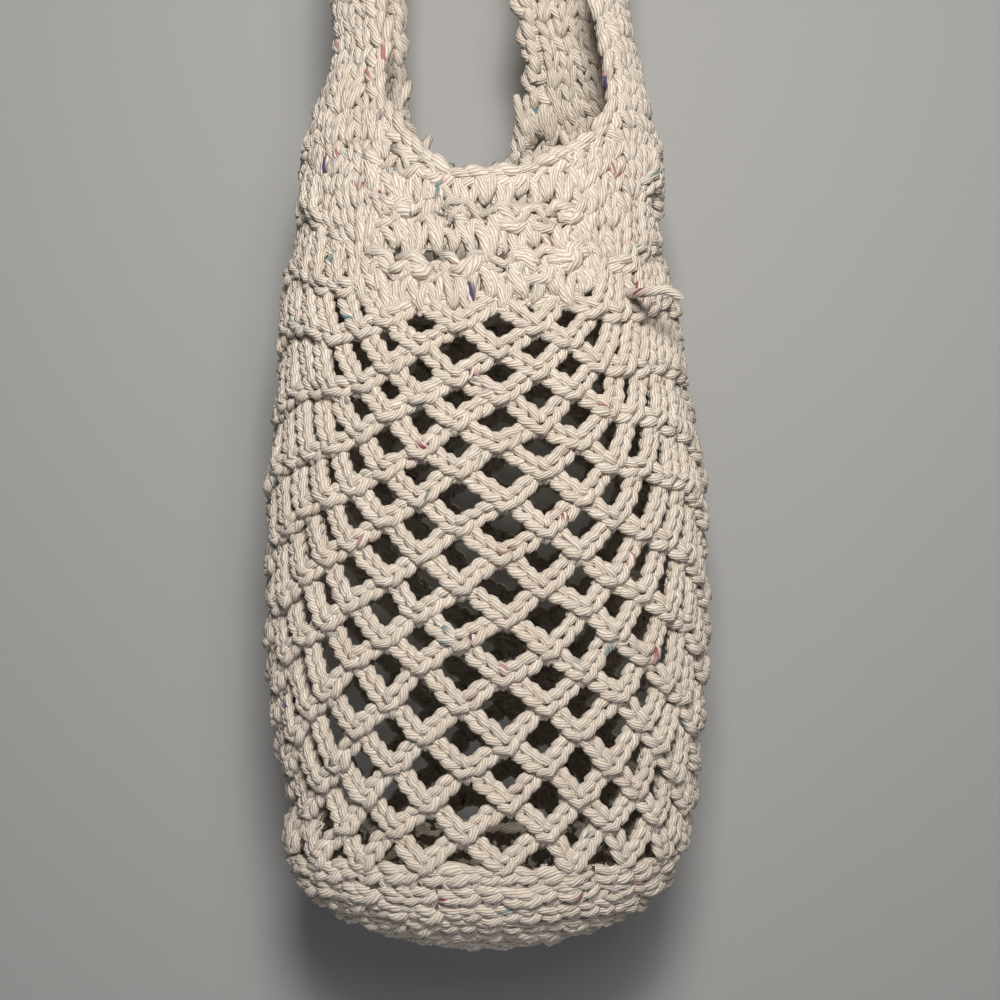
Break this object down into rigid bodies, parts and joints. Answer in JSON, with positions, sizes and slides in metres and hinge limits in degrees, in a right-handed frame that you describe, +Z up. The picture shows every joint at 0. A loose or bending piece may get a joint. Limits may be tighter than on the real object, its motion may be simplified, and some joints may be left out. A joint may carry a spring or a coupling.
{
  "type": "string shopping bag",
  "caption": "Crocheted cotton net bag: dense oval base, open diamond net, dense collar with a U-shaped neckline, and a wide strap that loops over the top, from which it hangs.",
  "frame": {"origin": "the hang point, at the underside of the strap's top, where a hook or a hand carries the bag", "axes": "+Z up, the front of the bag faces -Y, +X is the viewer's right"},
  "size_m": [0.1523, 0.0942, 0.522],
  "materials": {
    "cotton_base": "matte",
    "cotton_net": "matte",
    "cotton_collar": "matte",
    "cotton_strap": "matte"
  },
  "bodies": {
    "root": {"base": "cotton_base", "net": "cotton_net", "collar": "cotton_collar", "strap": "cotton_strap"}
  },
  "joints": []
}
